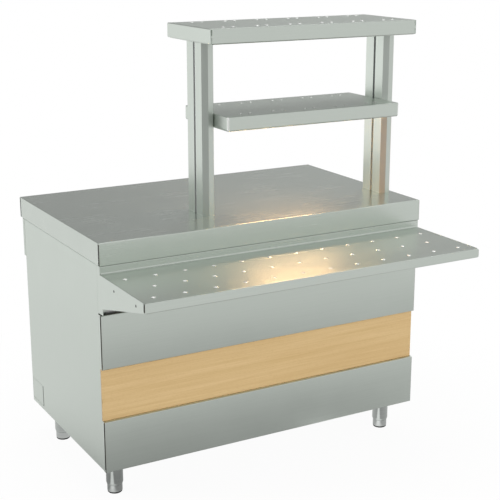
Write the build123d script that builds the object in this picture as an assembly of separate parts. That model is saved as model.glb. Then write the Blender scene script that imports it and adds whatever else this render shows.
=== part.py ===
from build123d import *
import math
import os

# Sheet, folds and fits (all sizes in mm)
sheet = 1.5            # worktop and shelves
skin = 1.2             # body panels
bend = 3.0             # outside radius of a fold
roll = 6.0             # outside radius under a rolled lip
hem = 14.0             # edge turned in under a lip
seam = 7.0             # open seam behind the front lip at a corner
tack_seam = 5.0        # narrower seam with a weld in it
tack = 6.0             # height of that weld
fit = 0.3              # gap between pieces set side by side
run = 0.06             # radial gap of a turning or sliding fit
corner = 6.0           # rounded corners of small plates
ease = 1.5             # eased edges of turned and moulded pieces

# Worktop
top_l = 1200.0
top_d = 730.0
top_h = 876.0          # top face above the floor
top_lip = 73.0
rib_w = 60.0
rib_foot = 15.0
rib_pitch = 400.0

# Body
body_z = 118.0         # underside above the floor
inset = 1.2            # sides set in from the worktop's ends
front_set = 26.0       # body front behind the worktop's front edge
back_set = 32.0        # body back ahead of the worktop's rear edge
fold = 25.0            # depth of the folded panels
base_h = 45.0          # height of the base frame
rail_w = 70.0
rail_wall = 3.0
shelf_rise = 436.0     # top of the loose inner shelf above the floor
shelf_lip = 25.0
ledge_w = 45.0
ledge_wall = 2.0
back_rail_h = 37.0

# Side service cover
cover_y = 8.0          # from the side's rear edge
cover_z = 16.0         # above the side's lower edge
cover_w = 108.0
cover_h = 77.0
cover_gap = 0.8
cover_slot = 6.0       # finger slot along the cover's front edge
cover_lap = 4.0

# Front facing
face_set = 7.0         # steel facing behind the worktop's front edge
face_d = 9.0
face_gap = 6.0         # upper facing below the tray bracket
upper_h = 179.0
lower_h = 174.0
toe_h = 9.0            # lower facing's return against the body
decor_t = 6.0
decor_lap = 13.0
clip_w = 60.0
clip_h = 24.0
clip_wall = 2.0
clip_pitch = 450.0
clip_row = 110.0

# Rear fascia with sockets and switch
fascia_gap = 1.0       # below the worktop's lip
fascia_h = 134.0
fascia_d = 18.0
socket_x = 250.0       # from the worktop's left end
socket_pitch = 120.0
socket_w = 52.0
socket_drop = 26.0     # flange below the socket's centre
socket_rise = 34.0     # flange above the socket's centre
socket_t = 4.0
cup_r = 22.0
cup_d = 30.0
recess_r = 19.5
recess_d = 16.0
lid_t = 4.0
lid_w = 48.0
pin_r = 1.5
pin_rise = 29.0
pin_out = 4.0          # pin axis ahead of the socket's flange
lug_in = 14.0
lug_out = 20.0
lug_r = 4.0
knuckle_r = 3.3
switch_x = 200.0       # from the worktop's right end
bezel_w = 30.0
bezel_h = 44.0
bezel_t = 2.5
collar_wall = 1.7
collar_d = 18.0
rocker_w = 20.0
rocker_r = 15.7        # reach of the rocker's tips from its pivot
rocker_in = 4.0        # pivot behind the fascia's face
rocker_lift = 6.0      # tips ahead of the pivot
rocker_back = 5.0
rocker_tilt = 7.0
box_w = 110.0
box_h = 70.0
box_d = 42.0
box_wall = 2.5
gland_x = 160.0        # from the worktop's left end
gland_y = 60.0         # ahead of the body's back
gland_bore = 5.0
gland_r = 9.0
gland_nut_r = 14.0
gland_nut_h = 7.0
gland_drop = 26.0

# Legs and feet
leg_x = 67.0           # from the worktop's ends
leg_front = 101.0      # from the worktop's front edge
leg_rear = 150.0       # from the worktop's rear edge
leg_r = 28.0
leg_wall = 1.6
leg_z = 30.0           # lower end of the tube above the floor
leg_taper = 2.0
leg_taper_h = 7.0
bush_h = 22.0
pad_h = 4.5
pad_r = 24.0
foot_r = 25.0
stem_r = 8.0
stem_h = 72.0
plate_w = 60.0
plate_l = 98.0
plate_t = 4.0
bolt_r = 4.0
bolt_head_r = 7.0
bolt_head_h = 5.0
bolt_y = 39.0
bolt_gap = 0.2

# Tray shelf
tray_d = 325.0
tray_drop = 99.0       # tray's top below the worktop's
tray_lip = 30.0
apron_set = 3.0        # apron behind the worktop's front edge
apron_drop = 28.0      # apron below the tray's top
cove_r = 5.0           # hollow foot of the apron on the tray
cove_t = 0.6           # thickness at the foot's edges
bracket_t = 2.0
bracket_h = 126.0      # height of the bracket at its rear tab
bracket_rise = 21.0    # step from the tab up to the sloping edge
bracket_tab = 10.0     # tab ahead of the worktop's front edge
bracket_flange = 28.0
screw_y = (104.0, 263.0)
screw_drop = 22.5
screw_r = 2.5
screw_head_r = 4.2
screw_head_h = 1.0
screw_nut_r = 4.6
screw_nut_h = 4.0
boss_r = 7.5
boss_h = 2.0
boss_pitch = 100.0
boss_row = 101.0
boss_front = 47.0

# Shelf unit on the right-hand end of the worktop
unit_l = 787.0
unit_d = 306.0
unit_y = 209.5         # centre behind the worktop's front edge
unit_rise = 614.0      # top shelf's top face above the worktop
unit_lip = 49.0
mid_rise = 336.5
mid_lip = 47.0
mid_round = 7.0        # upright corners of the mid shelf
post_set = 19.5        # from the top shelf's ends
post_w = 40.0
post_d = 118.0
bevel_w = 20.0         # sloping part of the post's front
bevel_d = 8.0
post_slot = 11.0
post_wall = 1.5
post_bend = 4.0
core_w = 22.0
core_wall = 2.0
core_plug = 30.0
anchor_w = 68.0
anchor_l = 124.0
anchor_t = 6.0
anchor_bolt_y = 30.0
anchor_bolt_in = 22.0
tie_h = 34.0
pair_gap = 36.0
pair_pitch = 123.0
pair_front = 45.0

# Lamp under the mid shelf
lamp_l = 340.0
lamp_off = 36.0        # lamp's middle to the right of the shelf's
lamp_w = 64.0
lamp_h = 24.0
lamp_wall = 1.2
tube_r = 8.0
holder_t = 12.0
holder_w = 30.0
lens_h = 9.0
lens_t = 2.0

# Planes that follow from the sizes above
x_left = -top_l / 2
x_right = top_l / 2
y_front = (tray_d - top_d) / 2
y_back = y_front + top_d
lip_z = top_h - top_lip
body_x0 = x_left + inset
body_x1 = x_right - inset
body_y0 = y_front + front_set
body_y1 = y_back - back_set
inner_x = body_x1 - fold - fit
side_y = (body_y0 + body_y1) / 2
fascia_y = body_y1 + fascia_d
fascia_z = lip_z - fascia_gap - fascia_h
fascia_mid = fascia_z + fascia_h / 2
base_z = body_z + base_h
tray_z = top_h - tray_drop
bracket_z = tray_z - bracket_h
upper_z = bracket_z - face_gap - upper_h
unit_z = top_h + unit_rise
mid_z = top_h + mid_rise
unit_x0 = x_right - unit_l
unit_mid_y = y_front + unit_y
post_x = (unit_x0 + post_set + post_w / 2, x_right - post_set - post_w / 2)
mid_x0 = post_x[0] + post_w / 2 + fit
mid_x1 = post_x[1] - post_w / 2 - fit


def block(x0, x1, y0, y1, z0, z1):
    """A box between two corners."""
    middle = Pos((x0 + x1) / 2, (y0 + y1) / 2, (z0 + z1) / 2)
    return middle * Box(x1 - x0, y1 - y0, z1 - z0)


def level_edges(body, side):
    """The four level edges at the top (1) or the foot (0) of a box."""
    rank = -1 if side else 0
    return body.faces().sort_by(Axis.Z)[rank].edges()


def pan(length, width, depth, wall, turned=0.0, under=bend, rounded=0.0):
    """A folded sheet: face up at z = 0, lips down, edges turned in under them if asked."""
    body = Pos(0, 0, -depth / 2) * Box(length, width, depth)
    floor = wall if turned else 0.0
    high = depth - wall - floor
    hollow = Pos(0, 0, -wall - high / 2) * Box(length - 2 * wall, width - 2 * wall, high)
    if rounded:
        body = fillet(body.edges().filter_by(Axis.Z), rounded)
        hollow = fillet(hollow.edges().filter_by(Axis.Z), rounded - wall)
    body = fillet(level_edges(body, 1), bend)
    hollow = fillet(level_edges(hollow, 1), bend - wall)
    if turned:
        body = fillet(level_edges(body, 0), under)
        hollow = fillet(level_edges(hollow, 0), under - wall)
        mouth = Box(length - 2 * turned, width - 2 * turned, 2 * depth)
        hollow = hollow + (Pos(0, 0, -depth) * mouth & Pos(0, 0, -depth) * Box(length, width, depth))
    return body - hollow


def channel(length, width, depth, wall):
    """A sheet with its two long edges folded down: face up at z = 0, ends open."""
    body = Pos(0, 0, -depth / 2) * Box(length, width, depth)
    body = fillet(level_edges(body, 1).filter_by(Axis.X), bend)
    high = depth - wall
    hollow = Pos(0, 0, -wall - high / 2) * Box(length, width - 2 * wall, high)
    hollow = fillet(level_edges(hollow, 1).filter_by(Axis.X), bend - wall)
    return body - hollow


def open_seams(body, length, width, depth, wall, turned, sides):
    """Cut the end lips of a pan free from its front or rear lip."""
    for end in (-1, 1):
        for side in sides:
            x = end * (length - turned) / 2
            y = side * (width / 2 - wall - seam / 2)
            body = body - Pos(x, y, -bend - depth / 2) * Box(turned + 2 * fit, seam, depth)
    return body


def tacked_seams(body, length, width, depth, wall, turned):
    """Cut the long lips of a pan free from its end lips, but for one weld at each corner."""
    for end in (-1, 1):
        for side in (-1, 1):
            x = end * (length / 2 - wall - tack_seam / 2)
            y = side * (width - turned) / 2
            cut = Pos(x, y, -bend - depth / 2) * Box(tack_seam, turned + 2 * fit, depth)
            body = body - (cut - Pos(x, y, -depth / 2) * Box(2 * tack_seam, 2 * turned, tack))
    return body


def dome(radius, height):
    """A low round boss that stands on z = 0 and is rooted a little below it."""
    ball = (radius ** 2 + height ** 2) / (2 * height)
    cap = Pos(0, 0, height - ball) * Sphere(ball)
    return cap & block(-2 * radius, 2 * radius, -2 * radius, 2 * radius, -fit, 2 * height)


def turned_part(points):
    """A body of revolution about Z from radius and height pairs."""
    outline = make_face(Polyline([(r, 0, z) for r, z in points], close=True))
    return revolve(outline, Axis.Z)


def hex_bolt(radius, length, head_r, head_h):
    """A bolt with its head's seat at z = 0, the head below and the shank up."""
    head = extrude(RegularPolygon(head_r, 6), -head_h)
    return head + Pos(0, 0, length / 2) * Cylinder(radius, length)


def shelf_bosses(length, width):
    """Places of the paired bosses on a shelf: a front and a rear row."""
    count = int((length - pair_gap - 2 * pair_front) // pair_pitch) + 1
    places = []
    for row in (-1, 1):
        for i in range(count):
            for side in (-1, 1):
                x = (i - (count - 1) / 2) * pair_pitch + side * pair_gap / 2
                places.append((x, row * (width / 2 - pair_front)))
    return places


def placed(body, places):
    """Copies of one body at a list of places."""
    return [Pos(*place) * body for place in places]


nodes = {}

# Worktop, its ribs and the holes for the post bolts
anchor_holes = [(x, unit_mid_y + side * anchor_bolt_y) for x in post_x for side in (-1, 1)]
worktop = pan(top_l, top_d, top_lip, sheet, hem)
worktop = open_seams(worktop, top_l, top_d, top_lip, sheet, hem, (-1, 1))
worktop = Pos(0, y_front + top_d / 2, top_h) * worktop
hole = Cylinder(bolt_r + bolt_gap, 4 * anchor_t)
nodes["worktop"] = worktop - placed(hole, [(x, y, top_h) for x, y in anchor_holes])

rib_h = top_lip - sheet
rib_l = body_y1 - body_y0
rib = Pos(0, 0, rib_h / 2) * Box(rib_w, rib_l, rib_h)
rib = fillet(rib.edges().filter_by(Axis.Y).group_by(Axis.Z)[-1], bend)
rib = rib - Pos(0, 0, (rib_h - sheet) / 2) * Box(rib_w - 2 * sheet, rib_l, rib_h - sheet)
foot_x = (rib_w + rib_foot) / 2
rib = rib + placed(Box(rib_foot, rib_l, sheet), [(-foot_x, 0, sheet / 2), (foot_x, 0, sheet / 2)])
nodes["worktop_stiffeners"] = Compound(placed(rib, [(i * rib_pitch, side_y, lip_z) for i in (-1, 0, 1)]))

# Sides with their service covers
side_h = lip_z - body_z
side_l = body_y1 - body_y0
side_mid = (body_z + lip_z) / 2
cover_y1 = body_y1 - cover_y
cover_z0 = body_z + cover_z
for end, name in ((-1, "left"), (1, "right")):
    face = end * body_x1
    panel = Pos(face, side_y, side_mid) * Rot(0, end * 90, 0) * pan(side_h, side_l, fold, skin)
    spot = Pos(face, cover_y1 - cover_w / 2, cover_z0 + cover_h / 2)
    nodes["side_panel_" + name] = panel - spot * Box(4 * skin, cover_w, cover_h)
    plate = Rectangle(cover_h - 2 * cover_gap, cover_w - cover_gap - cover_slot)
    plate = Pos(0, (cover_slot - cover_gap) / 2, 0) * extrude(plate, -skin)
    backing = extrude(RectangleRounded(cover_h + 2 * cover_lap, cover_w + 2 * cover_lap, cover_lap), -skin)
    cover = plate + Pos(0, 0, -skin) * backing
    cover = cover - Pos(0, (cover_slot - cover_w) / 2, 0) * Box(cover_h - 2 * cover_gap, cover_slot, 8 * skin)
    nodes["service_cover_" + name] = spot * Rot(0, end * 90, 0) * cover

# Body front, rear rail and rear fascia
nodes["front_inner_panel"] = block(-inner_x, inner_x, body_y0, body_y0 + skin, body_z, lip_z)
rail = pan(2 * inner_x, back_rail_h, fold, skin)
nodes["rear_rail"] = Pos(0, body_y1, lip_z - back_rail_h / 2) * Rot(-90, 0, 0) * rail

fascia = pan(body_x1 - body_x0, fascia_h, fascia_d, skin)
fascia = Pos(0, fascia_y, fascia_mid) * Rot(-90, 0, 0) * fascia
socket_places = (("left", x_left + socket_x), ("right", x_left + socket_x + socket_pitch))
cup_hole = Rot(90, 0, 0) * Cylinder(cup_r + fit, 8 * skin)
fascia = fascia - placed(cup_hole, [(x, fascia_y, fascia_mid) for _, x in socket_places])
collar_w = rocker_w + 2 * fit + 2 * collar_wall
collar_h = 2 * (rocker_r + 2 * fit + collar_wall)
window = Box(collar_w + 2 * fit, 8 * skin, collar_h + 2 * fit)
nodes["rear_fascia"] = fascia - Pos(x_right - switch_x, fascia_y, fascia_mid) * window

# Sockets: flange, cup, recess, hinge lugs, pin and sprung lid
pins = []
up = Rot(-90, 0, 0) * Rot(0, 0, 180)
for name, x in socket_places:
    spot = Pos(x, fascia_y, fascia_mid) * up
    flange_h = socket_drop + socket_rise
    flange = extrude(RectangleRounded(socket_w, flange_h, corner), socket_t)
    flange = Pos(0, (socket_rise - socket_drop) / 2, 0) * flange
    body = flange + Pos(0, 0, -cup_d / 2) * Cylinder(cup_r, cup_d)
    body = body - Pos(0, 0, socket_t - recess_d / 2) * Cylinder(recess_r, recess_d)
    lug_mid = (lug_in + lug_out) / 2
    axis_z = socket_t + pin_out
    for end in (-1, 1):
        lug = Rot(0, 90, 0) * Cylinder(lug_r, lug_out - lug_in)
        lug = lug + Pos(0, 0, -pin_out / 2) * Box(lug_out - lug_in, 2 * lug_r, pin_out)
        body = body + Pos(end * lug_mid, pin_rise, axis_z) * lug
    bore = Rot(0, 90, 0) * Cylinder(pin_r + run, 4 * lug_out)
    body = body - Pos(0, pin_rise, axis_z) * bore
    nodes["socket_" + name + "_body"] = spot * body

    lid_top = pin_rise - lug_r - fit
    lid_low = -lid_w / 2
    lid = extrude(RectangleRounded(lid_w, lid_top - lid_low, corner), lid_t)
    lid = fillet(lid.faces().sort_by(Axis.Z)[-1].edges(), ease)
    lid = Pos(0, (lid_top + lid_low) / 2, socket_t + fit) * lid
    web_x = lug_in - fit
    web = block(-web_x, web_x, lid_top - lid_t, pin_rise, axis_z - knuckle_r + ease, axis_z - ease)
    knuckle = Pos(0, pin_rise, axis_z) * Rot(0, 90, 0) * Cylinder(knuckle_r, 2 * web_x)
    lid = lid + web + knuckle - Pos(0, pin_rise, axis_z) * bore
    nodes["socket_" + name + "_lid"] = spot * lid
    pin = Rot(0, 90, 0) * Cylinder(pin_r, 2 * lug_out)
    pins.append(spot * Pos(0, pin_rise, axis_z) * pin)
nodes["socket_pins"] = Compound(pins)

# Lamp switch: bezel with collar, rocker on two trunnions
spot = Pos(x_right - switch_x, fascia_y, fascia_mid) * up
bezel = extrude(RectangleRounded(bezel_w, bezel_h, corner / 2), bezel_t)
bezel = bezel + Pos(0, 0, -collar_d / 2) * Box(collar_w, collar_h, collar_d)
throat = Box(collar_w - 2 * collar_wall, collar_h - 2 * collar_wall, 4 * collar_d)
pivot = Pos(0, 0, -rocker_in)
bezel = bezel - throat - pivot * Rot(0, 90, 0) * Cylinder(pin_r + run, 2 * collar_w)
nodes["switch_bezel"] = spot * bezel
tip = math.sqrt(rocker_r ** 2 - rocker_lift ** 2)
heel = tip - ease
dish = rocker_lift - ease
outline = [(-rocker_back, -heel), (rocker_lift, -tip), (dish, 0), (rocker_lift, tip), (-rocker_back, heel)]
rocker = make_face(Polyline([(0, y, z) for z, y in outline], close=True))
rocker = extrude(rocker, rocker_w / 2, dir=(1, 0, 0), both=True)
rocker = rocker + Rot(0, 90, 0) * Cylinder(pin_r, rocker_w + 2 * collar_wall)
nodes["switch_rocker"] = spot * pivot * Rot(rocker_tilt, 0, 0) * rocker

# Supply: junction box on the fascia's back, gland through the base
case = pan(box_w, box_h, box_d, box_wall)
case = case + Pos(0, 0, -box_d + box_wall / 2) * Box(box_w - 2 * fit, box_h - 2 * fit, box_wall)
box_spot = Pos(0, fascia_y - skin - box_d, fascia_z + bend + box_h / 2)
nodes["junction_box"] = box_spot * Rot(90, 0, 0) * case

gland_spot = Pos(x_left + gland_x, body_y1 - gland_y, base_z)
gland = Pos(0, 0, (gland_nut_h - gland_drop) / 2 + sheet) * Cylinder(gland_r, gland_nut_h + gland_drop)
gland = gland + Pos(0, 0, sheet) * extrude(RegularPolygon(gland_nut_r, 6), gland_nut_h)
gland = gland + Pos(0, 0, -gland_nut_h) * extrude(RegularPolygon(gland_nut_r, 6), gland_nut_h)
nodes["cable_gland"] = gland_spot * (gland - Cylinder(gland_bore, 8 * gland_drop))

# Base: rear rail, cross rails that take the legs, flat floor
low_rail = pan(2 * inner_x, base_h, fold, skin)
low_rail = Pos(0, body_y1, body_z + base_h / 2) * Rot(-90, 0, 0) * low_rail
cross_y0 = body_y0 + bend
cross_y1 = body_y1 - fold - fit
cross_h = base_h - skin
cross = Pos(0, (cross_y0 + cross_y1) / 2, base_z - cross_h / 2) * Box(rail_w, cross_y1 - cross_y0, cross_h)
cross = fillet(cross.edges().filter_by(Axis.Y).group_by(Axis.Z)[-1], bend)
trough = Box(rail_w - 2 * rail_wall, top_d, cross_h)
cross = cross - Pos(0, side_y, base_z - cross_h / 2 - rail_wall) * trough
legs = {}
for end, side in ((-1, "left"), (1, "right")):
    x = end * (x_right - leg_x)
    legs["front_" + side] = (x, y_front + leg_front)
    legs["rear_" + side] = (x, y_back - leg_rear)
bolts = [(x, y + side * bolt_y) for x, y in legs.values() for side in (-1, 1)]
bolt_hole = Cylinder(bolt_r + bolt_gap, 4 * rail_wall)
crosses = placed(cross, [(-x_right + leg_x, 0, 0), (x_right - leg_x, 0, 0)])
crosses = [c - placed(bolt_hole, [(x, y, base_z) for x, y in bolts]) for c in crosses]
nodes["base_rails"] = Compound([low_rail] + crosses)

floor_x = inner_x - fit
floor_y0 = body_y0 + skin + fit
floor = block(-floor_x, floor_x, floor_y0, body_y1 - fit, base_z, base_z + sheet)
floor = fillet(floor.edges().filter_by(Axis.Z), corner)
gland_hole = Cylinder(gland_r + fit, 8 * sheet)
nodes["base_shelf"] = floor - gland_spot * gland_hole

# Loose inner shelf on two ledges
ledge_z = shelf_rise - shelf_lip
inner_y0 = body_y0 + bend
inner_y1 = body_y1 - fold
inner = pan(2 * floor_x, inner_y1 - inner_y0, shelf_lip, sheet, hem)
nodes["inner_shelf"] = Pos(0, (inner_y0 + inner_y1) / 2, shelf_rise) * inner
ledges = []
for end in (-1, 1):
    wall_x = end * (body_x1 - skin)
    outline = [(0, 0), (ledge_w, 0), (ledge_w, -ledge_wall), (ledge_wall, -ledge_wall)]
    outline = outline + [(ledge_wall, -ledge_w / 2), (0, -ledge_w / 2)]
    corners = [(wall_x - end * x, inner_y0 + fold, ledge_z + z) for x, z in outline]
    ledge = make_face(Polyline(corners, close=True))
    ledges.append(extrude(ledge, inner_y1 - inner_y0 - 2 * fold, dir=(0, 1, 0)))
nodes["shelf_rails"] = Compound(ledges)

# Legs with welded plate and threaded bush, feet on a stem, pads
plate_z = base_z - rail_wall - plate_t
leg_profile = [
    (stem_r + run, leg_z),
    (leg_r - leg_taper, leg_z),
    (leg_r, leg_z + leg_taper_h),
    (leg_r, plate_z),
    (leg_r - leg_wall, plate_z),
    (leg_r - leg_wall, leg_z + bush_h),
    (stem_r + run, leg_z + bush_h),
]
leg = turned_part(leg_profile)
plate = Pos(0, 0, plate_z) * extrude(RectangleRounded(plate_w, plate_l, corner), plate_t)
own_bolts = [(0, -bolt_y, plate_z), (0, bolt_y, plate_z)]
leg = leg + plate - placed(Cylinder(bolt_r + bolt_gap, 4 * plate_t), own_bolts)
foot_top = leg_z - fit
foot_profile = [
    (0, pad_h),
    (foot_r - ease, pad_h),
    (foot_r, pad_h + ease),
    (foot_r, foot_top - ease),
    (foot_r - ease, foot_top),
    (stem_r, foot_top),
    (stem_r, leg_z + stem_h - ease),
    (stem_r - ease, leg_z + stem_h),
    (0, leg_z + stem_h),
]
foot = turned_part(foot_profile)
pad = turned_part([(0, 0), (pad_r - ease, 0), (pad_r, ease), (pad_r, pad_h), (0, pad_h)])
for name, (x, y) in legs.items():
    nodes["leg_" + name] = Pos(x, y, 0) * leg
    nodes["foot_" + name] = Pos(x, y, 0) * foot
    nodes["foot_pad_" + name] = Pos(x, y, 0) * pad
leg_bolt = hex_bolt(bolt_r, plate_t + rail_wall - fit, bolt_head_r, bolt_head_h)
nodes["leg_bolts"] = Compound(placed(leg_bolt, [(x, y, plate_z) for x, y in bolts]))

# Front facing: two folded sheets with ears at their ends, the board between them, the clips
face_y = y_front + face_set
ear_y = face_y + face_d - skin
facings = (
    ("front_upper_panel", upper_z, upper_h, upper_z + upper_h - skin),
    ("front_lower_panel", body_z, lower_h, body_z),
)
clips = []
clip_d = front_set - face_set - skin
for name, low, high, tab_z in facings:
    facing = channel(body_x1 - body_x0, high, face_d, skin)
    facing = Pos(0, face_y, low + high / 2) * Rot(90, 0, 0) * facing
    for end in (-1, 1):
        ear_x = sorted((end * body_x1, end * (body_x1 - skin)))
        tab_x = sorted((end * body_x1, end * (body_x1 - corner)))
        facing = facing + block(*ear_x, ear_y, body_y0, low, low + high)
        facing = facing + block(*tab_x, ear_y, body_y0, tab_z, tab_z + skin)
    nodes[name] = facing
    clip = Box(clip_w, clip_d, clip_h) - Box(clip_w - 2 * clip_wall, clip_d - 2 * clip_wall, 2 * clip_h)
    for i in (-1, 0, 1):
        for j in (-1, 1):
            spot = (i * clip_pitch, face_y + skin + clip_d / 2, low + high / 2 + j * clip_row / 2)
            clips.append(Pos(*spot) * clip)
nodes["panel_clips"] = Compound(clips)
toe_y = face_y + bend
toe = block(body_x0, body_x1, toe_y, body_y0, body_z, body_z + toe_h)
toe = toe - block(body_x0 + skin, body_x1 - skin, y_front, body_y0 - skin, body_z + skin, upper_z)
nodes["front_lower_panel"] = nodes["front_lower_panel"] + toe
decor_z0 = body_z + lower_h - decor_lap
decor_x = body_x1 - skin - fit
decor = block(-decor_x, decor_x, body_y0 - decor_t, body_y0, decor_z0, upper_z + decor_lap)
decor = fillet(decor.edges().filter_by(Axis.X).group_by(Axis.Y)[0], ease / 2)
seen = (body_z + lower_h + fit, upper_z - fit)
nodes["front_decor_panel"] = decor + block(body_x0, body_x1, body_y0 - decor_t, body_y0, *seen)

# Tray shelf, apron behind it, end brackets and screws
tray_x = body_x1 - bracket_t
tray_y0 = y_front - tray_d
tray_y1 = y_front + apron_set - fit
tray_l = 2 * tray_x
tray_w = tray_y1 - tray_y0
tray = pan(tray_l, tray_w, tray_lip, sheet, hem)
tray = open_seams(tray, tray_l, tray_w, tray_lip, sheet, hem, (-1,))
tray = Pos(0, (tray_y0 + tray_y1) / 2, tray_z) * tray
lip_z0 = tray_z - tray_lip + bend + fit
tray = tray + block(-body_x1, body_x1, tray_y0, tray_y0 + sheet, lip_z0, tray_z - bend - fit)
count = int(tray_l // boss_pitch) + 1
places = []
for row in range(3):
    number = count - row % 2
    for i in range(number):
        places.append(((i - (number - 1) / 2) * boss_pitch, tray_y0 + boss_front + row * boss_row, tray_z))
tray = tray + placed(dome(boss_r, boss_h), places)
screw_z = tray_z - screw_drop
screws = [(end, y_front - y) for end in (-1, 1) for y in screw_y]
screw_hole = Rot(0, 90, 0) * Cylinder(screw_r + bolt_gap, 8 * bracket_t)
screw_holes = placed(screw_hole, [(end * body_x1, y, screw_z) for end, y in screws])
nodes["tray_shelf"] = tray - screw_holes

apron_y = y_front + apron_set
apron = block(-tray_x, tray_x, apron_y, body_y0, tray_z - apron_drop, lip_z)
apron = fillet(apron.edges().filter_by(Axis.X).group_by(Axis.Z)[-1], bend)
under = block(-top_l, top_l, apron_y + sheet, body_y0 - sheet, 0, lip_z - sheet)
apron = apron - under - block(-top_l, top_l, body_y0 - 2 * sheet, body_y0, 0, tray_z)
cove_y = apron_y - cove_r - cove_t
cove_z = tray_z + cove_r + cove_t
cove = block(-tray_x, tray_x, cove_y, apron_y, tray_z, cove_z)
cove = cove - Pos(0, cove_y, cove_z) * Rot(0, 90, 0) * Cylinder(cove_r, 2 * tray_l)
nodes["front_apron"] = apron + cove

slope_z = bracket_z + bracket_rise
bracket_y = tray_y0 + sheet + seam
outline = [
    (bracket_y, tray_z),
    (apron_y, tray_z),
    (apron_y, lip_z - fit),
    (body_y0, lip_z - fit),
    (body_y0, bracket_z),
    (y_front - bracket_tab, bracket_z),
    (y_front - bracket_tab, slope_z),
    (bracket_y, tray_z - tray_lip),
]
for end, name in ((-1, "left"), (1, "right")):
    gusset = make_face(Polyline([(end * body_x1, y, z) for y, z in outline], close=True))
    gusset = extrude(gusset, bracket_t, dir=(-end, 0, 0))
    flange_x = sorted((end * tray_x, end * (tray_x - bracket_flange)))
    flange = block(*flange_x, body_y0 - bracket_t, body_y0, bracket_z, tray_z - fit)
    nodes["tray_bracket_" + name] = gusset + flange - screw_holes
shank = bracket_t + sheet + screw_nut_h
screw = Pos(0, 0, shank / 2) * Cylinder(screw_r, shank)
screw = screw + Pos(0, 0, bracket_t + sheet) * extrude(RegularPolygon(screw_nut_r, 6), screw_nut_h)
head = dome(screw_head_r, screw_head_h)
screw = screw + Rot(180, 0, 0) * split(head, Plane.XY, keep=Keep.TOP)
all_screws = [Pos(end * body_x1, y, screw_z) * Rot(0, -end * 90, 0) * screw for end, y in screws]
nodes["tray_screws"] = Compound(all_screws)

# Posts: two folded halves round a core, bolted through the worktop
post_h = unit_z - sheet - top_h
half_d = (post_d - post_slot) / 2
side_x = post_w / 2
corners = [(-side_x, half_d / 2), (-side_x, bevel_d - half_d / 2), (bevel_w - side_x, -half_d / 2)]
corners = corners + [(side_x, -half_d / 2), (side_x, half_d / 2)]
half = make_face(Polyline(corners, close=True))
half = fillet(half.vertices().group_by(Axis.Y)[0].sort_by(Axis.X)[-1], post_bend)
hollow = offset(half, -post_wall)
mouth = Pos(0, half_d / 2) * Rectangle(core_w + 2 * fit, 4 * post_wall)
half = extrude(half - hollow - mouth, post_h)
core_d = post_d - 2 * bevel_d - 2 * post_wall
core = Pos(0, 0, post_h / 2) * Box(core_w, core_d, post_h)
well = Box(core_w - 2 * core_wall, core_d - 2 * core_wall, post_h)
core = core - Pos(0, 0, post_h / 2 + core_plug) * well
tapped = Cylinder(bolt_r + run, 2 * (anchor_bolt_in + 1))
core = core - placed(tapped, [(0, -anchor_bolt_y, 0), (0, anchor_bolt_y, 0)])
anchor = extrude(RectangleRounded(anchor_w, anchor_l, corner), -anchor_t)
anchor = anchor - placed(hole, [(0, -anchor_bolt_y, 0), (0, anchor_bolt_y, 0)])
for x, name in zip(post_x, ("left", "right")):
    spot = Pos(x, unit_mid_y, top_h)
    shift = (post_d - half_d) / 2
    front_half = Pos(0, -shift, 0) * half
    nodes["post_" + name + "_front"] = spot * front_half
    nodes["post_" + name + "_rear"] = spot * mirror(front_half, Plane.XZ)
    nodes["post_" + name + "_core"] = spot * core
anchor_z = top_h - sheet
nodes["post_anchor_plates"] = Compound(placed(anchor, [(x, unit_mid_y, anchor_z) for x in post_x]))
bolt = hex_bolt(bolt_r, anchor_t + sheet + anchor_bolt_in, bolt_head_r, bolt_head_h)
nodes["post_bolts"] = Compound(placed(bolt, [(x, y, anchor_z - anchor_t) for x, y in anchor_holes]))

# Shelves of the unit and the ties that hold the mid shelf to the posts
shelf_specs = (
    ("top_shelf", unit_x0, x_right, unit_z, unit_lip, 0.0),
    ("mid_shelf", mid_x0, mid_x1, mid_z, mid_lip, mid_round),
)
for name, x0, x1, z, lip, rounded in shelf_specs:
    turned = post_set - 2 * fit
    shelf = pan(x1 - x0, unit_d, lip, sheet, turned, roll, rounded)
    if name == "top_shelf":
        shelf = tacked_seams(shelf, x1 - x0, unit_d, lip, sheet, turned)
    shelf = shelf + placed(dome(boss_r, boss_h), shelf_bosses(x1 - x0, unit_d))
    nodes[name] = Pos((x0 + x1) / 2, unit_mid_y, z) * shelf
tie_x = (post_w - core_w) / 2 + fit
tie = Box(tie_x, post_slot - 2 * fit, tie_h)
tie_z = mid_z - mid_lip / 2
tie_places = [(mid_x0 - tie_x / 2, unit_mid_y, tie_z), (mid_x1 + tie_x / 2, unit_mid_y, tie_z)]
nodes["mid_shelf_brackets"] = Compound(placed(tie, tie_places))

# Lamp: trough, tube in two holders, curved lens
lamp_x = (mid_x0 + mid_x1) / 2 + lamp_off
lamp_spot = Pos(lamp_x, unit_mid_y, mid_z - sheet)
nodes["lamp_housing"] = lamp_spot * pan(lamp_l, lamp_w, lamp_h, lamp_wall)
tube_z = -lamp_h / 2
holder_x = lamp_l / 2 - bend - holder_t / 2
holder = Pos(0, 0, (tube_z - lamp_wall - tube_r) / 2) * Box(holder_t, holder_w, tube_r - tube_z - lamp_wall)
holder = holder - Pos(0, 0, tube_z) * Rot(0, 90, 0) * Cylinder(tube_r + fit, 2 * holder_t)
holders = placed(holder, [(-holder_x, 0, 0), (holder_x, 0, 0)])
nodes["lamp_holders"] = Compound([lamp_spot * one for one in holders])
tube = Pos(0, 0, tube_z) * Rot(0, 90, 0) * Cylinder(tube_r, lamp_l - 2 * bend)
nodes["lamp_tube"] = lamp_spot * tube
chord = lamp_w / 2
lens_r = (chord ** 2 + lens_h ** 2) / (2 * lens_h)
lens = Cylinder(lens_r, lamp_l) - Cylinder(lens_r - lens_t, lamp_l)
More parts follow.
